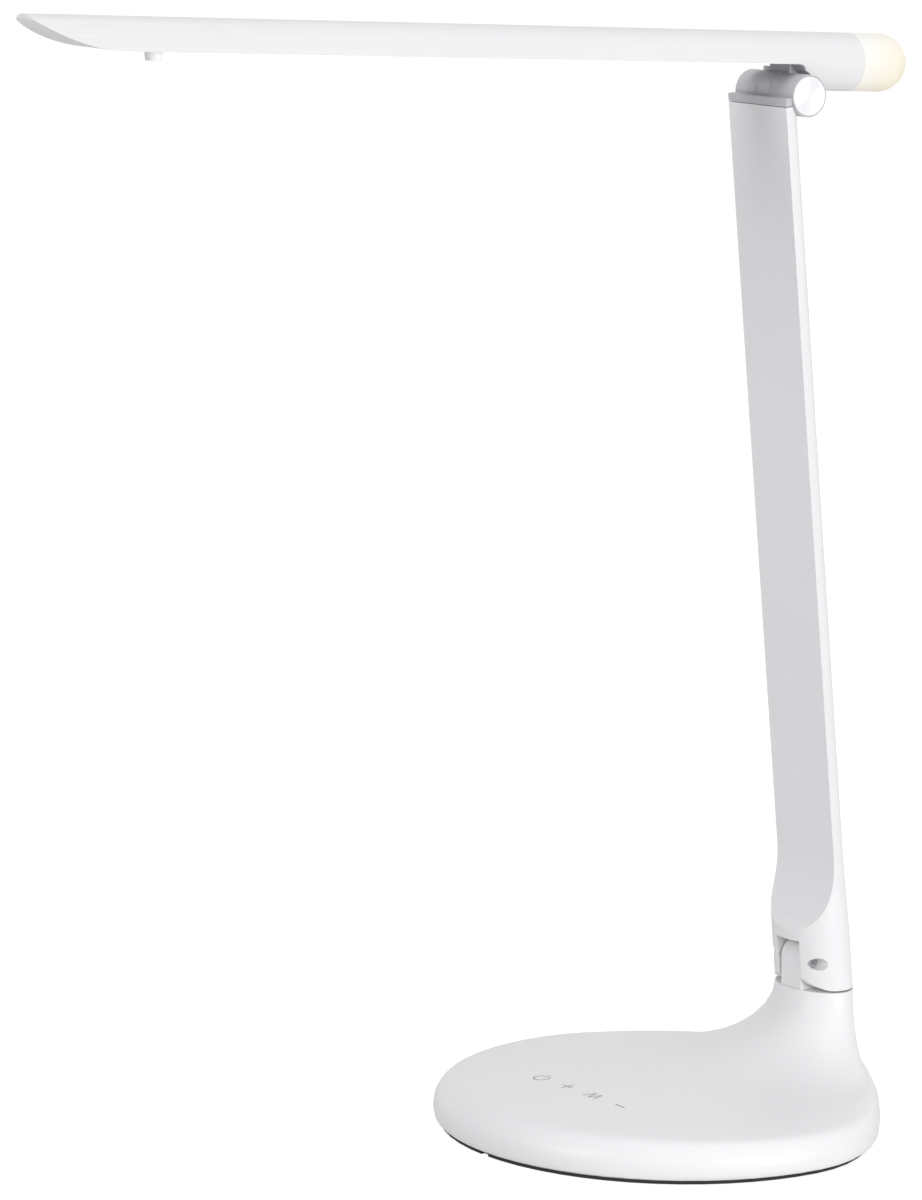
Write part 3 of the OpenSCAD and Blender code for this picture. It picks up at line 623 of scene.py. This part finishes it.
# %% Camera
SENSOR, LENS, CAMERA_AT = 36.0, 169.86, (1.56336, -1.18538, 0.53455)
camera_data = bpy.data.cameras.new("studio_camera")
camera_data.sensor_width, camera_data.sensor_fit = SENSOR, "AUTO"
camera_data.lens = LENS
camera_data.clip_end = 50
camera = bpy.data.objects.new("studio_camera", camera_data)
bpy.context.scene.collection.objects.link(camera)
AROUND, ABOVE = math.radians(55), math.radians(10)
behind = Vector((math.sin(AROUND) * math.cos(ABOVE), -math.cos(AROUND) * math.cos(ABOVE), math.sin(ABOVE)))
camera.location = CAMERA_AT
camera.rotation_euler = behind.to_track_quat("Z", "Y").to_euler()
bpy.context.scene.camera = camera
print("lens:", LENS, "mm, from", round(Vector(CAMERA_AT).length, 2), "m away")

# %% [markdown]
# ## The white table
# The floor reflects light like white card. For camera rays alone it also glows a little, so it ends
# up as white as the background and still keeps a soft shadow under the lamp. Nothing of that glow
# falls on the lamp.

# %% Floor
REACH, FLOOR_DROP = 6, -0.2 * MM
floor_mesh = bpy.data.meshes.new("table_top")
floor_mesh.from_pydata([(x, y, FLOOR_DROP) for x, y in (
    (-REACH, -REACH), (REACH, -REACH), (REACH, REACH), (-REACH, REACH))], [], [(0, 1, 2, 3)])
floor = bpy.data.objects.new("table_top", floor_mesh)
bpy.context.scene.collection.objects.link(floor)
table = bpy.data.materials.new("white_table")
table.use_nodes = True
page = Page(table.node_tree)
page.tree.nodes.clear()
path = page.node("ShaderNodeLightPath")
card = page.node("ShaderNodeBsdfDiffuse", None, {"Color": (0.80, 0.80, 0.80, 1)})
dim = page.node("ShaderNodeBsdfDiffuse", None, {"Color": (0.32, 0.32, 0.32, 1)})
glow = page.node("ShaderNodeEmission", None, {"Color": (1, 1, 1, 1), "Strength": 0.87})
seen = page.node("ShaderNodeAddShader", None, {0: dim["BSDF"], 1: glow["Emission"]})
either = page.node("ShaderNodeMixShader", None, {
    0: path["Is Camera Ray"], 1: card["BSDF"], 2: seen["Shader"]})
page.node("ShaderNodeOutputMaterial", None, {"Surface": either["Shader"]})
floor_mesh.materials.append(table)
print("floor:", 2 * REACH, "m wide")

# %% [markdown]
# ## Light
# The sky is plain white where the camera, a gloss or clear plastic looks at it, and a quiet grey for
# everything that it lights. A soft panel at the object's right turns its sides bright, while the flat
# front of the arm stays grey. A large one overhead and a small one in front fill the rest.

# %% World and lamps
world = bpy.data.worlds.new("white_studio")
bpy.context.scene.world = world
world.use_nodes = True
page = Page(world.node_tree)
page.tree.nodes.clear()
path = page.node("ShaderNodeLightPath")
shows = path["Is Camera Ray"].math("MAXIMUM", path["Is Camera Ray"], path["Is Glossy Ray"])
shows = shows.math("MAXIMUM", shows, path["Is Transmission Ray"])
quiet = page.node("ShaderNodeBackground", None, {"Color": (0.97, 0.98, 1.0, 1), "Strength": 0.45})
bright = page.node("ShaderNodeBackground", None, {"Color": (1, 1, 1, 1), "Strength": 1.0})
sky = page.node("ShaderNodeMixShader", None, {
    0: shows, 1: quiet["Background"], 2: bright["Background"]})
page.node("ShaderNodeOutputWorld", None, {"Surface": sky["Shader"]})


def soft_lamp(name, place, target, size, power):
    data = bpy.data.lights.new(name, "AREA")
    data.shape, data.size, data.size_y = "RECTANGLE", size[0], size[1]
    data.energy = power
    lamp = bpy.data.objects.new(name, data)
    bpy.context.scene.collection.objects.link(lamp)
    lamp.location = place
    lamp.rotation_euler = (Vector(place) - Vector(target)).to_track_quat("Z", "Y").to_euler()
    print(name, power, "W")


soft_lamp("right_key", (2.6, 0.2, 0.40), (0, 0, 0.18), (1.6, 1.0), 44)
soft_lamp("top_fill", (0, 0.2, 4.0), (0, 0, 0.1), (3.0, 3.0), 46)
soft_lamp("front_fill", (-0.05, -2.4, 1.2), (0, 0, 0.15), (0.6, 0.6), 17)
bpy.context.scene.view_settings.view_transform = "Standard"
